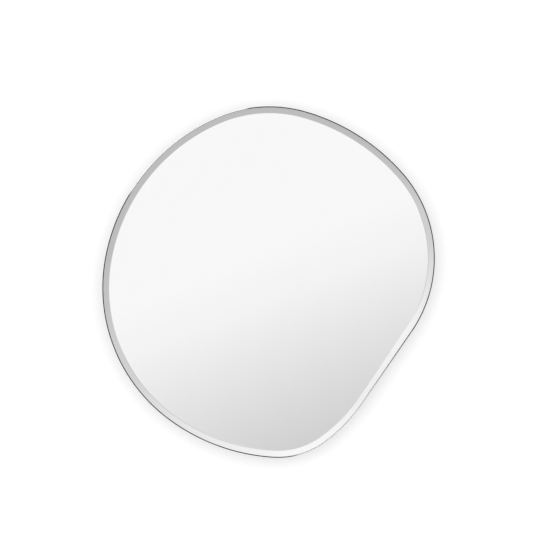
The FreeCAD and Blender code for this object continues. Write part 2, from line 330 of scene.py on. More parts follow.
@dataclass(frozen=True)
class Finish:
    """A surface finish: one Principled shader with uneven colour, gloss and relief.

    The colour and gloss vary between two values over soft patches, and relief is a fine bump.
    """

    name: str
    dark: tuple[float, float, float]
    light: tuple[float, float, float]
    gloss: tuple[float, float] = (0.4, 0.5)
    metallic: float = 0.0
    patch_scale: float = 60.0
    relief_scale: float = 1500.0
    relief: float = 0.05
    relief_depth: float = 0.05 * MM
    drawn: bool = False  # relief of lines along X rather than grains
    dust: float = 0.0  # amount, 0 to 1
    dust_level: float = 0.55  # how pale the dust is

    def material(self) -> bpy.types.Material:
        """The material, which is built the first time."""
        return bpy.data.materials.get(self.name) or self.build()

    def build(self) -> bpy.types.Material:
        """Builds the material.

        Returns:
            The material.
        """
        material, nodes, shader = new_material(self.name, {"Metallic": self.metallic})
        patches = nodes.effect(mottle_group(), {"Scale": self.patch_scale})
        colour = nodes.mix_colour(patches, (*self.dark, 1.0), (*self.light, 1.0))
        if self.dust:
            dust = nodes.effect(dust_group(), {"Amount": self.dust})
            colour = nodes.mix_colour(dust, colour, grey(self.dust_level))
        nodes.join(colour, shader.inputs["Base Color"])
        nodes.join(nodes.mix(patches, *self.gloss), shader.inputs["Roughness"])
        if self.relief:
            nodes.join(self.bump(nodes), shader.inputs["Normal"])
        return material

    def bump(self, nodes: Nodes) -> bpy.types.NodeSocket:
        """The fine relief: lines on a drawn metal, and grains elsewhere.

        Args:
            nodes: the material's nodes.

        Returns:
            The bumped normal.
        """
        if self.drawn:
            height = nodes.effect(drawn_lines_group(), {"Lines per metre": self.relief_scale})
        else:
            height = nodes.effect(mottle_group(), {"Scale": self.relief_scale})
        inputs = {"Height": height, "Strength": self.relief, "Distance": self.relief_depth}
        return nodes.add("ShaderNodeBump", inputs).outputs["Normal"]


@dataclass(frozen=True)
class EdgedFinish(Finish):
    """The finish of a strip that is polished on its edge towards the room, and satin behind it."""

    satin: tuple[float, float, float] = (0.036, 0.036, 0.037)
    satin_gloss: float = 0.32
    polished_until: float = 0.0  # the y where the satin begins
    fade: float = 0.8 * MM

    def build(self) -> bpy.types.Material:
        """Builds the polished finish, and turns it satin behind the edge.

        Returns:
            The material.
        """
        material = super().build()
        nodes = Nodes(material.node_tree)
        inputs = material.node_tree.nodes["Principled BSDF"].inputs
        depth = nodes.dot(nodes.place(), TOWARDS_WALL)
        behind = nodes.step(depth, self.polished_until, self.polished_until + self.fade)
        polish = {name: inputs[name].links[0].from_socket for name in ("Base Color", "Roughness")}
        colour = nodes.mix_colour(behind, polish["Base Color"], (*self.satin, 1.0))
        nodes.join(colour, inputs["Base Color"])
        nodes.join(nodes.mix(behind, polish["Roughness"], self.satin_gloss), inputs["Roughness"])
        return material


POLISHED_RIM = EdgedFinish(
    "polished_black_chrome", (0.102, 0.102, 0.105), (0.118, 0.118, 0.121), (0.045, 0.075),
    metallic=1.0, patch_scale=25.0, relief=0.0,
)
LACQUERED_BOARD = Finish(
    "black_lacquered_board", (0.020, 0.019, 0.018), (0.032, 0.031, 0.030), (0.42, 0.58),
    patch_scale=18.0, relief_scale=900.0, relief=0.35, relief_depth=0.06 * MM, dust=0.35,
)
ANODISED_RAIL = Finish(
    "anodised_extrusion", (0.60, 0.605, 0.61), (0.72, 0.725, 0.73), (0.28, 0.40),
    metallic=1.0, patch_scale=40.0, relief_scale=3000.0, relief=0.45, relief_depth=0.02 * MM, drawn=True,
)
ZINC_PLATE = Finish(
    "zinc_plated_sheet", (0.50, 0.51, 0.53), (0.66, 0.67, 0.68), (0.28, 0.42),
    metallic=1.0, patch_scale=220.0, relief_scale=1800.0, relief=0.15, relief_depth=0.03 * MM,
)
ZINC_SCREW = Finish(
    "bright_zinc_screw", (0.62, 0.62, 0.60), (0.74, 0.74, 0.72), (0.16, 0.28),
    metallic=1.0, patch_scale=500.0, relief_scale=2500.0, relief=0.10, relief_depth=0.02 * MM,
)
FOOT_RUBBER = Finish(
    "moulded_black_rubber", (0.016, 0.016, 0.017), (0.030, 0.030, 0.031), (0.62, 0.80),
    patch_scale=300.0, relief_scale=2600.0, relief=0.45, relief_depth=0.05 * MM, dust=0.25,
)
FOAM_TAPE = Finish(
    "closed_cell_foam", (0.045, 0.045, 0.047), (0.095, 0.095, 0.10), (0.80, 0.95),
    patch_scale=900.0, relief_scale=2200.0, relief=0.8, relief_depth=0.15 * MM,
)
MIRROR_GLUE = Finish(
    "cured_glue", (0.52, 0.50, 0.45), (0.64, 0.62, 0.57), (0.35, 0.50),
    patch_scale=250.0, relief_scale=400.0, relief=0.5, relief_depth=0.2 * MM,
)
BACKING_PAINT = Finish(
    "grey_backing_paint", (0.25, 0.26, 0.27), (0.31, 0.32, 0.33), (0.45, 0.60),
    patch_scale=30.0, relief_scale=700.0, relief=0.3, relief_depth=0.04 * MM,
)
SAFETY_FILM = Finish(
    "woven_safety_film", (0.62, 0.64, 0.66), (0.74, 0.76, 0.78), (0.30, 0.42),
    patch_scale=15.0, relief_scale=1200.0, relief=0.4, relief_depth=0.05 * MM, drawn=True,
)
EDGE_PAD = Finish(
    "soft_clear_pad", (0.66, 0.66, 0.64), (0.78, 0.78, 0.76), (0.40, 0.55),
    patch_scale=400.0, relief_scale=1500.0, relief=0.2,
)


@dataclass(frozen=True)
class FloatGlass:
    """Clear float glass with hardly any tint."""

    name: str = "clear_float_glass"
    ior: float = 1.52
    tint: tuple[float, float, float] = (0.996, 0.998, 0.997)
    patch_scale: float = 4.0

    def material(self) -> bpy.types.Material:
        """Builds the material: clear, with a tint that comes and goes over wide patches.

        Returns:
            The material.
        """
        values = {"Transmission Weight": 1.0, "Roughness": 0.0, "IOR": self.ior}
        material, nodes, shader = new_material(self.name, values)
        patches = nodes.effect(mottle_group(), {"Scale": self.patch_scale})
        colour = nodes.mix_colour(patches, (*self.tint, 1.0), grey(1.0))
        nodes.join(colour, shader.inputs["Base Color"])
        return material


@dataclass(frozen=True)
class Silvering:
    """The bright silver layer on the back of the glass."""

    name: str = "bright_silvering"
    dark: float = 0.952
    light: float = 0.958
    patch_scale: float = 6.0

    def material(self) -> bpy.types.Material:
        """Builds the material: a clean mirror whose brightness hardly varies.

        Returns:
            The material.
        """
        material, nodes, shader = new_material(self.name, {"Metallic": 1.0, "Roughness": 0.0})
        patches = nodes.effect(mottle_group(), {"Scale": self.patch_scale})
        colour = nodes.mix_colour(patches, grey(self.dark), grey(self.light))
        nodes.join(colour, shader.inputs["Base Color"])
        return material


# ---------------------------------------------------------------------------------------------------
# Meshes
# ---------------------------------------------------------------------------------------------------


def piece_from(
    bm: bmesh.types.BMesh, name: str, materials: list[bpy.types.Material], sharp: float = 25.0
) -> bpy.types.Object:
    """Turns a bmesh into an object at the origin, smooth but for its sharp edges.

    Args:
        bm: the mesh, which is freed.
        name: the object's name.
        materials: its materials, in the order of the faces' material numbers.
        sharp: edges that turn by more than this many degrees stay crisp.

    Returns:
        The object, linked to the scene.
    """
    limit = math.radians(sharp)
    for face in bm.faces:
        face.smooth = True
    for edge in bm.edges:
        edge.smooth = len(edge.link_faces) == 2 and edge.calc_face_angle(0.0) < limit
    mesh = bpy.data.meshes.new(name)
    bm.to_mesh(mesh)
    bm.free()
    for material in materials:
        mesh.materials.append(material)
    piece = bpy.data.objects.new(name, mesh)
    bpy.context.scene.collection.objects.link(piece)
    return piece


def register(piece: bpy.types.Object, body: Body, slot: Slot, *nodes: str) -> None:
    """Tells the frame what a new piece rides on, and hides and logs the CAD nodes that it stands for.

    Args:
        piece: the new piece.
        body: the body that it moves with.
        slot: the record's material slot; not used.
        nodes: the CAD nodes that it stands for.
    """
    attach(piece, body.value)
    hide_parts(*nodes)
    LOG.info("%s: %d faces, stands for %s", piece.name, len(piece.data.polygons), ", ".join(nodes))


def dress_node(node: str, finish: Finish) -> None:
    """Gives a CAD node that stays in view its finish.

    Args:
        node: the node's name.
        finish: the finish.
    """
    material = finish.material()
    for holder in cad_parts[node].material_slots:
        holder.material = material
    LOG.info("%s: dressed as %s", node, finish.name)


def merged_copy(node: str, flat: float = 0.5) -> bmesh.types.BMesh:
    """A copy of a CAD node's mesh with its doubles merged and its flat faces joined.

    Args:
        node: the node's name.
        flat: faces that turn by less than this many degrees are joined.

    Returns:
        The copy.
    """
    bm = bmesh.new()
    bm.from_mesh(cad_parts[node].data)
    bmesh.ops.remove_doubles(bm, verts=bm.verts, dist=MERGE_DISTANCE)
    bmesh.ops.dissolve_limit(bm, angle_limit=math.radians(flat), verts=bm.verts, edges=bm.edges)
    return bm


def rounded_copy(node: str, radius: float, sharp: float = 40.0) -> bmesh.types.BMesh:
    """A copy of a CAD node whose sharp edges are broken.

    Args:
        node: the node's name.
        radius: how far the rounding reaches from each edge.
        sharp: edges that turn by more than this many degrees are rounded.

    Returns:
        The copy.
    """
    bm = merged_copy(node)
    limit = math.radians(sharp)
    edges = [edge for edge in bm.edges if len(edge.link_faces) == 2 and edge.calc_face_angle(0.0) > limit]
    bmesh.ops.bevel(
        bm, geom=edges, offset=radius, segments=2, profile=0.5, affect="EDGES", material=-1,
        clamp_overlap=True,
    )
    return bm


def solids_of(node: str) -> list[tuple[Vector, Vector]]:
    """The lowest and highest corner of each separate solid of a CAD node, from left to right.

    Args:
        node: the node's name.

    Returns:
        One pair of corners for each solid.
    """
    bm = merged_copy(node)
    left = set(bm.verts)
    boxes = []
    while left:
        found = {left.pop()}
        waiting = list(found)
        while waiting:
            vert = waiting.pop()
            near = {edge.other_vert(vert) for edge in vert.link_edges} & left
            left -= near
            found |= near
            waiting.extend(near)
        corners = [[vert.co[axis] for vert in found] for axis in range(3)]
        boxes.append((Vector([min(c) for c in corners]), Vector([max(c) for c in corners])))
    bm.free()
    return sorted(boxes, key=lambda box: box[0].x)


def carved(body: bmesh.types.BMesh, cutter: bmesh.types.BMesh) -> bpy.types.Mesh:
    """Cuts one shape out of another.

    Args:
        body: the shape that is cut, which is freed.
        cutter: what is taken out of it, which is freed. Its parts may overlap.

    Returns:
        The mesh of what is left.
    """
    holder = piece_from(body, "blank", [])
    tool = piece_from(cutter, "cutter", [])
    cut = holder.modifiers.new("cut", "BOOLEAN")
    cut.operation = "DIFFERENCE"
    cut.solver = "EXACT"
    cut.use_self = True
    cut.object = tool
    mesh = bpy.data.meshes.new_from_object(holder.evaluated_get(bpy.context.evaluated_depsgraph_get()))
    for scrap in (holder, tool):
        bpy.data.objects.remove(scrap)
    return mesh


def lathe(
    bm: bmesh.types.BMesh, profile: list[tuple[float, float]], x: float, z: float, steps: int
) -> None:
    """Turns a closed profile round an axis square to the wall.

    Args:
        bm: the mesh that receives the shape.
        profile: (radius, y) points from the axis round to the axis.
        x: how far right the axis is.
        z: how high the axis is.
        steps: how many faces go round.
    """
    verts = [bm.verts.new((x + radius, y, z)) for radius, y in profile]
    edges = [bm.edges.new(pair) for pair in zip(verts, verts[1:])]
    bmesh.ops.spin(
        bm, geom=verts + edges, cent=(x, 0, z), axis=TOWARDS_WALL, angle=math.tau, steps=steps,
        use_merge=True,
    )
    bmesh.ops.remove_doubles(bm, verts=bm.verts, dist=MERGE_DISTANCE)
    bmesh.ops.recalc_face_normals(bm, faces=bm.faces)


def arc_points(centre: tuple[float, float], radius: float, start: float, end: float, count: int) -> list:
    """Points along an arc of a profile.

    Args:
        centre: the arc's (first, second) coordinates.
        radius: its radius.
        start: the angle of the first point, in degrees.
        end: the angle of the last point.
        count: how many steps there are between them.

    Returns:
        The points, both ends included.
    """
    angles = [math.radians(start + (end - start) * step / count) for step in range(count + 1)]
    return [(centre[0] + radius * math.cos(a), centre[1] + radius * math.sin(a)) for a in angles]


# ---------------------------------------------------------------------------------------------------
# Outline
# ---------------------------------------------------------------------------------------------------


@dataclass(frozen=True)
class Bend:
    """A stretch of the outline that turns clockwise, as seen from the room."""

    radius: float | None  # None for the bend that closes the loop
    turn: float  # degrees

    def reach(self, heading: float) -> Vector:
        """From its start to its end, for a radius of 1 and this heading in radians at the start."""
        return outward(heading - math.radians(self.turn)) - outward(heading)


@dataclass(frozen=True)
class Straight:
    """The straight run of the outline."""

    length: float | None = None  # None until the loop is closed


@dataclass
class Outline:
    """The outer edge of the rim: bends and one straight run, each tangent to the next, clockwise.

    The radius of the closing bend and the length of the straight run are worked out from the rest.
    """

    stretches: dict[str, Bend | Straight]
    heading: float = 23.5  # degrees above the horizontal where the first stretch begins
    step: float = 0.75  # degrees of turn for each face round a bend
    seam_gap: float = 0.02 * MM  # points this close join where a sweep ends at its start

    def __post_init__(self) -> None:
        """Closes the loop."""
        heading, gap = math.radians(self.heading), Vector((0, 0, 0))
        for stretch in self.stretches.values():
            if isinstance(stretch, Straight):
                run = along(heading)
                continue
            if stretch.radius is None:
                bend = stretch.reach(heading)
            else:
                gap += stretch.reach(heading) * stretch.radius
            heading -= math.radians(stretch.turn)
        spread = bend.x * run.z - bend.z * run.x
        radius = (run.x * gap.z - run.z * gap.x) / spread
        length = (bend.z * gap.x - bend.x * gap.z) / spread
        for name, stretch in self.stretches.items():
            if isinstance(stretch, Straight):
                self.stretches[name] = Straight(length)
            elif stretch.radius is None:
                self.stretches[name] = Bend(radius, stretch.turn)

    def start(self) -> Vector:
        """Where the first stretch begins, so that the outline is centred on the CAD rim.

        Returns:
            The point, at y = 0.
        """
        walked = [place for _, place, _ in self.walk(Vector())]
        low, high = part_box("rim")
        across = [place.x for place in walked]
        upright = [place.z for place in walked]
        x = (low.x + high.x - min(across) - max(across)) / 2
        z = (low.z + high.z - min(upright) - max(upright)) / 2
        return Vector((x, 0, z))

    def walk(self, start: Vector) -> Iterator[tuple[str, Vector, float]]:
        """Follows the outline.

        Args:
            start: where to begin.

        Yields:
            The stretch's name, the place and the heading in radians, at every step of every stretch.
        """
        place, heading = start.copy(), math.radians(self.heading)
        for name, stretch in self.stretches.items():
            steps = self.steps(stretch)
            for _ in range(steps):
                yield name, place.copy(), heading
                if isinstance(stretch, Straight):
                    place += along(heading) * stretch.length
                    continue
                part = Bend(stretch.radius, stretch.turn / steps)
                place += part.reach(heading) * part.radius
                heading -= math.radians(part.turn)

    def steps(self, stretch: Bend | Straight) -> int:
        """How many faces a stretch is divided into."""
        return round(stretch.turn / self.step) if isinstance(stretch, Bend) else 1

    def middle_of_run(self) -> tuple[Vector, float]:
        """The middle of the straight run, and its heading in radians."""
        walked = self.walk(self.start())
        place, heading = next((place, heading) for name, place, heading in walked if name == "straight")
        return place + along(heading) * self.stretches["straight"].length / 2, heading

    def sweep(self, bm: bmesh.types.BMesh, profile: list[tuple[float, float]], closed: bool) -> None:
        """Carries a profile once round the outline and joins its end to its start.

        Args:
            bm: the mesh that receives the shape.
            profile: (distance inwards from the outline, y) points.
            closed: whether the profile is a loop.
        """
        place, heading = self.start(), math.radians(self.heading)
        verts = [bm.verts.new(place - outward(heading) * inset + TOWARDS_WALL * y) for inset, y in profile]
        pairs = list(zip(verts, verts[1:])) + ([(verts[-1], verts[0])] if closed else [])
        geometry = verts + [bm.edges.new(pair) for pair in pairs]
        for stretch in self.stretches.values():
            geometry, place, heading = self.carry(bm, geometry, stretch, place, heading)
        bmesh.ops.remove_doubles(bm, verts=bm.verts, dist=self.seam_gap)
        bmesh.ops.recalc_face_normals(bm, faces=bm.faces)

    def carry(
        self, bm: bmesh.types.BMesh, geometry: list, stretch: Bend | Straight, place: Vector, heading: float
    ) -> tuple[list, Vector, float]:
        """Carries a profile along one stretch.

        Args:
            bm: the mesh.
            geometry: the profile's vertices and edges where the stretch begins.
            stretch: the stretch.
            place: where it begins.
            heading: its heading there, in radians.

        Returns:
            The profile, the place and the heading where the stretch ends.
        """
        if isinstance(stretch, Straight):
            edges = [item for item in geometry if isinstance(item, bmesh.types.BMEdge)]
            made = bmesh.ops.extrude_edge_only(bm, edges=edges)["geom"]
            moved = [item for item in made if isinstance(item, bmesh.types.BMVert)]
            shift = along(heading) * stretch.length
            bmesh.ops.translate(bm, verts=moved, vec=shift)
            made_edges = [item for item in made if isinstance(item, bmesh.types.BMEdge)]
            last = moved + [edge for edge in made_edges if set(edge.verts) <= set(moved)]
            return last, place + shift, heading
        turn = math.radians(stretch.turn)
        centre = place - outward(heading) * stretch.radius
        spun = bmesh.ops.spin(
            bm, geom=geometry, cent=centre, axis=TOWARDS_WALL, angle=turn, steps=self.steps(stretch)
        )
        end = centre + outward(heading - turn) * stretch.radius
        return spun["geom_last"], end, heading - turn


def outward(heading: float) -> Vector:
    """Which way is out of the outline where it runs at this heading."""
    return Vector((-math.sin(heading), 0, math.cos(heading)))


def along(heading: float) -> Vector:
    """The direction in which the outline runs at this heading."""
    return Vector((math.cos(heading), 0, math.sin(heading)))


OUTLINE = Outline(
    {
        "top": Bend(225.0 * MM, 39.5),
        "upper_right": Bend(349.0 * MM, 32.5),
        "right": Bend(221.0 * MM, 76.0),
        "straight": Straight(),
        "lower_right": Bend(271.0 * MM, 19.0),
        "bottom": Bend(137.0 * MM, 40.0),
        "lower_left": Bend(333.0 * MM, 33.0),
        "left": Bend(None, 63.5),
        "upper_left": Bend(326.0 * MM, 56.5),
    }
)


def close_rings(bm: bmesh.types.BMesh) -> None:
    """Closes each open ring of a swept shell with one flat face."""
    bmesh.ops.edgeloop_fill(bm, edges=[edge for edge in bm.edges if edge.is_boundary])
    bmesh.ops.recalc_face_normals(bm, faces=bm.faces)


# ---------------------------------------------------------------------------------------------------
# Sub-assemblies
# ---------------------------------------------------------------------------------------------------


@dataclass
class MirrorPane:
    """The bevelled glass with its silvered back, as one closed shape."""

    outline: Outline
    clearance: float = 0.25 * MM  # between the glass and the rim
    bevel_width: float = 10.0 * MM
    bevel_drop: float = 2.0 * MM
    arris: float = 0.12 * MM  # the small break where the bevel meets the edge
    ridge: float = 0.3 * MM  # the polished facet where the bevel meets the flat face

    def build(self) -> None:
        """Builds the pane. Its back face is the silver."""
        low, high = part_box("mirror_glass")
        inset = RIM_THICKNESS + self.clearance
        foot = low.y + self.bevel_drop
        slope = self.bevel_drop / (self.bevel_width - self.arris)
        crest = inset + self.bevel_width
        profile = [
            (crest + self.ridge / 2, low.y),
            (crest - self.ridge / 2, low.y + slope * self.ridge / 2),
            (inset + self.arris, foot),
            (inset, foot + self.arris),
            (inset, high.y),
        ]
        bm = bmesh.new()
        self.outline.sweep(bm, profile, closed=False)
        close_rings(bm)
        for face in bm.faces:
            face.material_index = int(face.calc_center_median().y > high.y - self.arris / 2)
        materials = [FloatGlass().material(), Silvering().material()]
        piece = piece_from(bm, "mirror_pane", materials, sharp=3.0)
        register(piece, Body.MIRROR, Slot.GLASS, "mirror_glass", "silver_coating")


@dataclass
class RimBand:
    """The slim polished rim, rounded towards the room, with a hairline joint in its straight run."""

    outline: Outline
    thickness: float = RIM_THICKNESS
    rounding: float = 1.35 * MM
    inner_break: float = 0.12 * MM  # how deep the inner edge is broken, from the end of the rounding
    back_break: float = 0.3 * MM
    set_back: float = 0.05 * MM  # of the outer face, inside the facets of the CAD rim
    rounding_steps: int = 12
    joint_width: float = 0.2 * MM
    joint_reach: float = 120.0 * MM  # past both ends of the run, and short of the rim's far side
    tolerance: float = 0.01 * MM

    def profile(self, front: float, back: float) -> list[tuple[float, float]]:
        """The section of the strip as (distance inwards, y) points, clockwise from the outer face.

        Args:
            front: the y of the edge towards the room.
            back: the y of the edge towards the wall.

        Returns:
            The points.
        """
        outer = self.set_back
        centre = (outer + self.rounding, front + self.rounding)
        rounded = arc_points(centre, self.rounding, 180, 270, self.rounding_steps)
        inner = [(self.thickness, front + self.inner_break), (self.thickness, back - self.back_break)]
        rear = [(self.thickness - self.back_break, back), (outer + self.back_break, back)]
        return rounded + inner + rear + [(outer, back - self.back_break)]

    def build(self) -> None:
        """Builds the rim and cuts its joint."""
        low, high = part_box("rim")
        bm = bmesh.new()
        self.outline.sweep(bm, self.profile(low.y, high.y), closed=True)
        self.cut_joint(bm)
        finish = replace(POLISHED_RIM, polished_until=low.y + self.rounding)
        piece = piece_from(bm, "rim_band", [finish.material()], sharp=30.0)
        register(piece, Body.MIRROR, Slot.RIM, "rim")

    def cut_joint(self, bm: bmesh.types.BMesh) -> None:
        """Opens a hairline gap in the middle of the straight run.

        Args:
            bm: the closed band.
        """
        middle, heading = self.outline.middle_of_run()
        run = along(heading)
        for side in (-1, 1):
            plane = middle + run * side * self.joint_width / 2
            cut = []
            for face in self.faces_near(bm, middle):
                reach = [(vert.co - plane).dot(run) for vert in face.verts]
                if min(reach) < 0 < max(reach):
                    cut += [face, *face.verts, *face.edges]
            cut = list(dict.fromkeys(cut))
            bmesh.ops.bisect_plane(bm, geom=cut, dist=MERGE_DISTANCE, plane_co=plane, plane_no=run)
        half = self.joint_width / 2 + self.tolerance
        gap = [
            face
            for face in self.faces_near(bm, middle)
            if all(abs((vert.co - middle).dot(run)) < half for vert in face.verts)
        ]
        bmesh.ops.delete(bm, geom=gap, context="FACES")
        close_rings(bm)

    def faces_near(self, bm: bmesh.types.BMesh, middle: Vector) -> list[bmesh.types.BMFace]:
        """The faces that lie wholly within reach of the joint.

        Args:
            bm: the band.
            middle: the middle of the joint.

        Returns:
            The faces.
        """
        far = {vert for vert in bm.verts if (vert.co - middle).length > self.joint_reach}
        return [face for face in bm.faces if far.isdisjoint(face.verts)]


@dataclass
class BackingBoard:
    """The lacquered board, its edges broken, with a notch in its edge for the splice plate."""

    outline: Outline
    clearance: float = 0.15 * MM  # between the board and the rim
    edge_break: float = 0.8 * MM
    edge_steps: int = 3
    notch_play: float = 0.5 * MM  # all round the splice plate
    plate_thickness: float = 1.5 * MM
    plate_length: float = 60.0 * MM

    def build(self) -> None:
        """Builds the board."""
        low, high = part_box("backing_board")
        radius = self.edge_break
        centre = RIM_THICKNESS + self.clearance + radius
        back = arc_points((centre, high.y - radius), radius, 90, 180, self.edge_steps)
        front = arc_points((centre, low.y + radius), radius, 180, 270, self.edge_steps)
        bm = bmesh.new()
        self.outline.sweep(bm, back + front, closed=False)
        close_rings(bm)
        mesh = carved(bm, self.notch(high.y))
        bm = bmesh.new()
        bm.from_mesh(mesh)
        bpy.data.meshes.remove(mesh)
        piece = piece_from(bm, "board_panel", [LACQUERED_BOARD.material()], sharp=40.0)
        register(piece, Body.MIRROR, Slot.BOARD, "backing_board")

    def notch(self, back: float) -> bmesh.types.BMesh:
        """What is routed out of the edge, open at the board's back.

        Args:
            back: the y of the board's back.

        Returns:
            The cutting shape.
        """
        middle, heading = self.outline.middle_of_run()
        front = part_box("splice_plate")[0].y - self.notch_play
        depth = RIM_THICKNESS + self.plate_thickness + self.notch_play
        size = (self.plate_length + 2 * self.notch_play, 2 * (back - front), 2 * depth)
        cutter = bmesh.new()
        bmesh.ops.create_cube(cutter, size=1.0)
        bmesh.ops.scale(cutter, verts=cutter.verts, vec=size)
        bmesh.ops.rotate(cutter, verts=cutter.verts, matrix=Matrix.Rotation(-heading, 3, "Y"))
        bmesh.ops.translate(cutter, verts=cutter.verts, vec=middle + TOWARDS_WALL * back)
        return cutter


@dataclass
class Hardware:
    """The rails, tabs, plate and feet: the CAD shapes with their edges broken."""

    tab_stretches: tuple[str, ...] = (
        "top", "upper_right", "right", "lower_right", "lower_left", "left", "upper_left",
    )
    rail_edge: float = 0.3 * MM
    plate_edge: float = 0.15 * MM
    foot_edge: float = 0.8 * MM

    def build(self) -> None:
        """Builds every piece of hardware but the screws."""
        self.copy("wall_rail", self.rail_edge, ANODISED_RAIL, Body.WALL, Slot.RAIL)
        self.copy("mirror_rail", self.rail_edge, ANODISED_RAIL, Body.MIRROR, Slot.RAIL)
        for name in self.tab_stretches:
            self.copy(f"tab_{name}", self.plate_edge, ZINC_PLATE, Body.MIRROR, Slot.PLATE)
        self.copy("splice_plate", self.plate_edge, ZINC_PLATE, Body.MIRROR, Slot.PLATE)
        for side in ("left", "right"):
            self.copy(f"foot_{side}", self.foot_edge, FOOT_RUBBER, Body.MIRROR, Slot.RUBBER)

    def copy(self, node: str, radius: float, finish: Finish, body: Body, slot: Slot) -> None:
        """Builds one piece from its CAD node.

        Args:
            node: the CAD node.
            radius: how far its edges are broken.
            finish: its finish.
            body: the body that it moves with.
            slot: the record's material slot.
        """
        bm = rounded_copy(node, radius)
        piece = piece_from(bm, f"{node}_finished", [finish.material()], sharp=50.0)
        register(piece, body, slot, node)


@dataclass
class Screws:
    """Pan-head screws with a cross recess, in the places of the CAD screws.

    The dome's points are shares of the head's radius and of its crown, out and down from the top.
    """

    head_height: float = 2.2 * MM
    shank_radius: float = 1.9 * MM
    tip_length: float = 3.0 * MM
    crown: float = 0.5 * MM  # how far the head's top is domed
    dome: tuple[tuple[float, float], ...] = ((0.0, 0.0), (0.55, 0.25), (0.85, 1.0), (0.97, 1.7))
    shoulder: float = 1 / 3  # the share of the head's height between its crown and its upright side
    turned_faces: int = 32
    recess_span: float = 4.0 * MM
    recess_width: float = 0.9 * MM
    recess_depth: float = 1.3 * MM
    recess_taper: float = 0.6  # the share of its span and width that is left at its floor

    def build(self) -> None:
        """Builds the three groups of screws."""
        for node in ("tab_screws", "mirror_rail_screws", "foot_screws"):
            bm = bmesh.new()
            for low, high in solids_of(node):
                self.add_screw(bm, low, high)
            piece = piece_from(bm, f"{node}_finished", [ZINC_SCREW.material()], sharp=35.0)
            register(piece, Body.MIRROR, Slot.SCREW, node)

    def add_screw(self, bm: bmesh.types.BMesh, low: Vector, high: Vector) -> None:
        """Adds one screw, its head towards the wall.

        Args:
            bm: the mesh of the group.
            low: the lowest corner of the CAD screw.
            high: its highest corner.
        """
        x, z = (low.x + high.x) / 2, (low.z + high.z) / 2
        radius = (high.x - low.x) / 2
        seat = high.y - self.head_height
        dome = [(radius * out, high.y - self.crown * down) for out, down in self.dome]
        sides = [
            (radius, high.y - self.crown - self.head_height * self.shoulder),
            (radius, seat),
            (self.shank_radius, seat),
            (self.shank_radius, low.y + self.tip_length),
            (0.0, low.y),
        ]
        body = bmesh.new()
        lathe(body, dome + sides, x, z, self.turned_faces)
        recessed = self.recessed(body, Vector((x, high.y, z)))
        bm.from_mesh(recessed)
        bpy.data.meshes.remove(recessed)

    def recessed(self, body: bmesh.types.BMesh, top: Vector) -> bpy.types.Mesh:
        """Cuts the cross recess into a head.

        Args:
            body: the plain screw, which is freed.
            top: the middle of the head's top.

        Returns:
            The mesh of the finished screw.
        """
        cutter = bmesh.new()
        size = (self.recess_span, 2 * self.recess_depth, self.recess_width)
        for turn in (0, 90):
            made = bmesh.ops.create_cube(cutter, size=1.0)["verts"]
            bmesh.ops.scale(cutter, verts=made, vec=size)
            floor = [vert for vert in made if vert.co.y < 0]
            bmesh.ops.scale(cutter, verts=floor, vec=(self.recess_taper, 1, self.recess_taper))
            bmesh.ops.rotate(cutter, verts=made, matrix=Matrix.Rotation(math.radians(turn), 3, "Y"))
            bmesh.ops.translate(cutter, verts=made, vec=top)
        return carved(body, cutter)


@dataclass
class Bond:
    """The thin and soft pieces round the glass: paint, film, foam tape, glue and edge pads."""

    finishes: tuple[tuple[str, Finish], ...] = (
        ("backing_paint", BACKING_PAINT), ("safety_film", SAFETY_FILM), ("tape_", FOAM_TAPE),
        ("glue_bead_", MIRROR_GLUE), ("edge_pad_", EDGE_PAD),
    )

    def build(self) -> None:
        """Dresses the CAD nodes, which keep their shapes."""
        for start, finish in self.finishes:
            for node in sorted(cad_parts):
                if node.startswith(start):
                    dress_node(node, finish)


# ---------------------------------------------------------------------------------------------------
# Studio
# ---------------------------------------------------------------------------------------------------


@dataclass
class StudioCamera:
    """A long lens square on to the wall, framed as the photograph."""

    image_width: float = 540.0  # pixels, as the next three
    outline_left: float = 102.28  # from the picture's left edge
    outline_right: float = 434.88
    outline_top: float = 106.27  # from the picture's upper edge
    distance: float = 6.0  # from the front of the rim
    sight: float = 50.0  # how far it sees
    sensor: float = 36.0  # millimetres

    def build(self) -> None:
        """Places the camera and makes it the scene's."""
        low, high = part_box("rim")
        pixel = (high.x - low.x) / (self.outline_right - self.outline_left)
        middle = self.image_width / 2
        x = low.x + (middle - self.outline_left) * pixel
        z = high.z - (middle - self.outline_top) * pixel
        data = bpy.data.cameras.new("studio_camera")
        data.sensor_width = self.sensor
        data.lens = self.sensor * self.distance / (self.image_width * pixel)
        data.clip_end = self.sight
        camera = bpy.data.objects.new("studio_camera", data)
        camera.location = (x, low.y - self.distance, z)
        camera.rotation_euler = (math.pi / 2, 0, 0)
        bpy.context.scene.collection.objects.link(camera)
        bpy.context.scene.camera = camera
        LOG.info("camera at %s, lens %.1f mm", tuple(round(c, 4) for c in camera.location), data.lens)


@dataclass
class StudioLight:
    """A soft lamp on the back of the mirror. The front is lit by the world alone."""

    strength: float = 0.9
    spread: float = 40.0  # degrees across
    shines_from: tuple[float, float, float] = (0.6, 0.9, 0.9)

    def build(self) -> None:
        """Adds the lamp. Mirrors don't see it: they see the studio of the world instead."""
        data = bpy.data.lights.new("rear_lamp", "SUN")
        data.energy = self.strength
        data.angle = math.radians(self.spread)
        lamp = bpy.data.objects.new("rear_lamp", data)
        lamp.rotation_euler = Vector(self.shines_from).to_track_quat("Z", "Y").to_euler()
        lamp.visible_glossy = False
        lamp.visible_transmission = False
        bpy.context.scene.collection.objects.link(lamp)


@dataclass(frozen=True)
class Panel:
    """A light panel that fans out from the mirror's axis. Angles are in degrees.

    A bearing is counted clockwise from straight up, as seen from the room.
    """

    bearing: float
    before: float  # from the bearing back to the first edge
    after: float  # from the bearing on to the second edge
    softness: tuple[float, float]  # of the two edges, to each side
    brightness: float


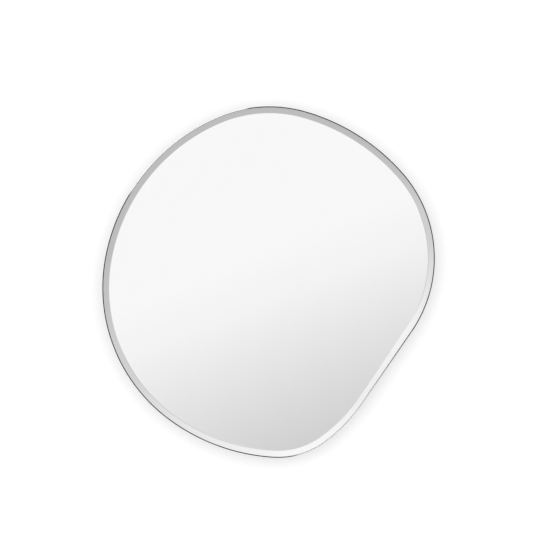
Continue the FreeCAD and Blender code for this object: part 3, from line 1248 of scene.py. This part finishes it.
def at_bearing(bearing: float) -> Vector:
    """Across the mirror's axis, this many degrees clockwise from straight up."""
    return Vector((math.sin(math.radians(bearing)), 0, math.cos(math.radians(bearing))))


@dataclass
class StudioWorld:
    """What surrounds the mirror: white to the camera, plain to matt surfaces, and a studio to shiny ones.

    The studio is a pale room that darkens from the upper left to the lower right, with a large softbox
    at the upper left, a white card at the lower right and grey surroundings between them. A darker band
    rings the light half of the room, just where only the bevel's ridge shows it. It has a bright gap.
    Angles are in degrees.
    """

    sides: tuple[tuple[tuple[int, int, int], float], ...] = (
        ((-1, 0, 0), 1.41), ((1, 0, 0), 1.08), ((0, 0, 1), 1.13), ((0, 0, -1), 0.58),
        ((0, -1, 0), 0.15), ((0, 1, 0), 0.10),
    )
    fall_bearing: float = 158.0  # clockwise from straight up to where the room is darkest
    room_dark: float = 0.545
    room_light: float = 1.03
    room_edge: tuple[float, float] = (11.0, 18.0)  # off the axis, where it gives way to the surround
    near_fall: tuple[tuple[float, float], ...] = (
        (-5.5, 0.0), (-2.93, 0.22), (-2.02, 0.435), (-0.5, 0.805), (0.3, 0.90), (5.7, 0.90), (8.6, 1.0),
    )
    near_spread: tuple[tuple[float, float], ...] = (
        (2.9, 1.0), (3.8, 0.97), (5.7, 0.88), (7.4, 0.78), (8.65, 0.57), (9.25, 0.36), (11.3, 0.0),
    )
    surround: tuple[tuple[float, float], ...] = (
        (18.0, 0.50), (30.0, 0.45), (45.0, 0.38), (60.0, 0.28), (75.0, 0.12), (90.0, 0.05),
        (100.0, 0.05), (120.0, 0.40), (150.0, 0.75), (180.0, 0.85),
    )
    softbox: Panel = Panel(326.0, 24.5, 24.5, (1.0, 1.0), 13.6)
    card: Panel = Panel(146.0, 21.15, 21.0, (1.35, 4.5), 10.6)
    panel_reach: tuple[float, float, float, float] = (28.0, 34.0, 100.0, 110.0)  # off the axis
    band_reach: tuple[float, float, float, float] = (2.75, 2.9, 7.2, 7.8)  # off the axis
    band_level: float = 0.42
    band_side: tuple[float, float] = (-0.012, 0.004)  # where it fades in: sines towards the light
    band_gap: Panel = Panel(346.0, 44.0, 30.0, (8.0, 14.0), 0.95)

    def build(self) -> None:
        """Builds the world."""
        world = bpy.data.worlds.new("studio")
        bpy.context.scene.world = world
        world.use_nodes = True
        nodes = Nodes(world.node_tree)
        background = world.node_tree.nodes["Background"]
        paths = nodes.add("ShaderNodeLightPath").outputs
        shiny = nodes.math("MAXIMUM", paths["Is Glossy Ray"], paths["Is Transmission Ray"])
        earlier = nodes.math("ADD", paths["Transmission Depth"], paths["Diffuse Depth"])
        panels_seen = nodes.math("LESS_THAN", earlier, 0.5)  # no glass or matt surface came before
        direction = nodes.add("ShaderNodeTexCoord").outputs["Generated"]
        level = nodes.mix(shiny, self.soft(nodes, direction), self.studio(nodes, direction, panels_seen))
        level = nodes.mix(paths["Is Camera Ray"], level, 1.0)
        nodes.join(level, background.inputs["Color"])

    def soft(self, nodes: Nodes, direction: bpy.types.NodeSocket) -> bpy.types.NodeSocket:
        """The light on matt surfaces: brightest from the left and from above.

        Args:
            nodes: the world's nodes.
            direction: the direction looked in.

        Returns:
            The brightness.
        """
        level: Value = 0.0
        for side, brightness in self.sides:
            share = nodes.math("MAXIMUM", nodes.dot(direction, side), 0.0)
            level = nodes.math("MULTIPLY_ADD", share, brightness, level)
        return level

    def studio(
        self, nodes: Nodes, direction: bpy.types.NodeSocket, panels_seen: bpy.types.NodeSocket
    ) -> bpy.types.NodeSocket:
        """The studio's brightness in each direction.

        Args:
            nodes: the world's nodes.
            direction: the direction looked in.
            panels_seen: 1 for light that comes straight to polished metal, and 0 behind the glass.

        Returns:
            The brightness.
        """
        off_axis = nodes.angle("ARCCOSINE", nodes.dot(direction, -TOWARDS_WALL))
        light_half = nodes.step(nodes.dot(direction, self.towards_light()), *self.band_side)
        band = nodes.product(self.ring(nodes, off_axis, self.band_reach), light_half)
        gap = self.fan(nodes, direction, self.band_gap)
        band_level = nodes.mix(gap, self.band_level, self.band_gap.brightness)
        room = nodes.mix(band, self.room(nodes, direction), band_level)
        surround = nodes.curve(off_axis, dict(self.surround))
        level = nodes.mix(nodes.step(off_axis, *self.room_edge), room, surround)
        reach = nodes.product(self.ring(nodes, off_axis, self.panel_reach), panels_seen)
        for panel in (self.softbox, self.card):
            mask = nodes.product(self.fan(nodes, direction, panel), reach)
            level = nodes.mix(mask, level, panel.brightness)
        return level

    def ring(self, nodes: Nodes, off_axis: bpy.types.NodeSocket, reach: tuple) -> bpy.types.NodeSocket:
        """Whether a direction lies in a ring round the axis.

        Args:
            nodes: the world's nodes.
            off_axis: the direction's angle off the axis.
            reach: where the ring begins, is full, begins to fade and ends.

        Returns:
            A mask from 0 to 1.
        """
        begins, full, fading, ends = reach
        return nodes.product(nodes.step(off_axis, begins, full), nodes.step(off_axis, ends, fading))

    def room(self, nodes: Nodes, direction: bpy.types.NodeSocket) -> bpy.types.NodeSocket:
        """The pale room behind the camera, which the face and the bevel show.

        Args:
            nodes: the world's nodes.
            direction: the direction looked in.

        Returns:
            The brightness.
        """
        across = at_bearing(self.fall_bearing - 90)
        up = nodes.angle("ARCSINE", nodes.dot(direction, self.towards_light()))
        side = nodes.angle("ARCSINE", nodes.dot(direction, across))
        fall = nodes.curve(up, dict(self.near_fall))
        spread = nodes.curve(nodes.math("ABSOLUTE", side), dict(self.near_spread))
        return nodes.mix(nodes.product(fall, spread), self.room_dark, self.room_light)

    def towards_light(self) -> Vector:
        """Across the axis, to where the room is brightest."""
        return at_bearing(self.fall_bearing + 180)

    def fan(self, nodes: Nodes, direction: bpy.types.NodeSocket, panel: Panel) -> bpy.types.NodeSocket:
        """Whether a direction lies between the two edges of a panel.

        Args:
            nodes: the world's nodes.
            direction: the direction looked in.
            panel: the panel.

        Returns:
            A mask from 0 to 1.
        """
        middle = nodes.dot(direction, at_bearing(panel.bearing))
        clockwise = nodes.dot(direction, at_bearing(panel.bearing + 90))
        turn = nodes.angle("ARCTAN2", clockwise, middle)
        first, second = panel.softness
        rise = nodes.step(turn, -panel.before - first, -panel.before + first)
        fall = nodes.step(turn, panel.after + second, panel.after - second)
        return nodes.product(rise, fall)


@dataclass
class Backdrop:
    """The white wall and the pale floor. Each is seen from one side only, and mirrors don't see them."""

    wall_y: float = 0.5 * MM  # just behind the wall rail
    width: float = 8.0
    wall_height: float = 5.0
    floor_drop: float = 1.3  # below the middle of the mirror
    floor_depth: float = 4.0
    white: float = 0.58
    glow: float = 0.535  # the part of the wall's brightness that no shadow reaches

    def build(self) -> None:
        """Builds the wall and the floor."""
        low, high = CAD_BOX
        floor_z = (low[2] + high[2]) / 2 - self.floor_drop
        material = self.material()
        upright = Matrix.Rotation(math.pi / 2, 4, "X")
        wall_middle = Matrix.Translation((0, self.wall_y, floor_z + self.wall_height / 2))
        floor_middle = Matrix.Translation((0, self.wall_y - self.floor_depth / 2, floor_z))
        self.add_plane("studio_wall", self.wall_height, wall_middle @ upright, material)
        self.add_plane("studio_floor", self.floor_depth, floor_middle, material)

    def add_plane(self, name: str, depth: float, place: Matrix, material: bpy.types.Material) -> None:
        """Adds a rectangle as wide as the wall.

        Args:
            name: its name.
            depth: its size along Y before it is placed.
            place: how it is turned and moved from the origin.
            material: its material.
        """
        bm = bmesh.new()
        bmesh.ops.create_grid(bm, x_segments=1, y_segments=1, size=0.5)
        bmesh.ops.scale(bm, verts=bm.verts, vec=(self.width, depth, 1))
        bmesh.ops.transform(bm, verts=bm.verts, matrix=place)
        plane = piece_from(bm, name, [material])
        plane.visible_diffuse = False
        plane.visible_glossy = False
        plane.visible_transmission = False
        plane.visible_shadow = False
        plane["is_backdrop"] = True

    def material(self) -> bpy.types.Material:
        """White paint that is seen through from behind.

        Returns:
            The material.
        """
        values = {"Base Color": grey(self.white), "Roughness": 1.0, "Specular IOR Level": 0.0}
        values |= {"Emission Color": grey(1.0), "Emission Strength": self.glow}
        material, nodes, shader = new_material("white_paint", values)
        clear = nodes.add("ShaderNodeBsdfTransparent").outputs[0]
        behind = nodes.add("ShaderNodeNewGeometry").outputs["Backfacing"]
        mixed = nodes.add("ShaderNodeMixShader", {0: behind, 1: shader.outputs[0], 2: clear})
        nodes.join(mixed.outputs[0], material.node_tree.nodes["Material Output"].inputs["Surface"])
        return material


def write_sizes() -> None:
    """Puts the CAD model's box and the visual model's box into plain lists, which are not written anywhere.
    """
    boxes = {"cad": CAD_BOX, "visual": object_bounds()}
    plain = {name: [[round(float(c), 6) for c in corner] for corner in box] for name, box in boxes.items()}


def main() -> None:
    """Builds the studio and the mirror, piece by piece."""
    logging.basicConfig(level=logging.INFO, format="%(message)s")
    bpy.context.scene.view_settings.view_transform = "Standard"
    StudioCamera().build()
    StudioLight().build()
    StudioWorld().build()
    Backdrop().build()
    MirrorPane(OUTLINE).build()
    RimBand(OUTLINE).build()
    BackingBoard(OUTLINE).build()
    Hardware().build()
    Screws().build()
    Bond().build()
    write_sizes()


if __name__ == "__main__":
    main()
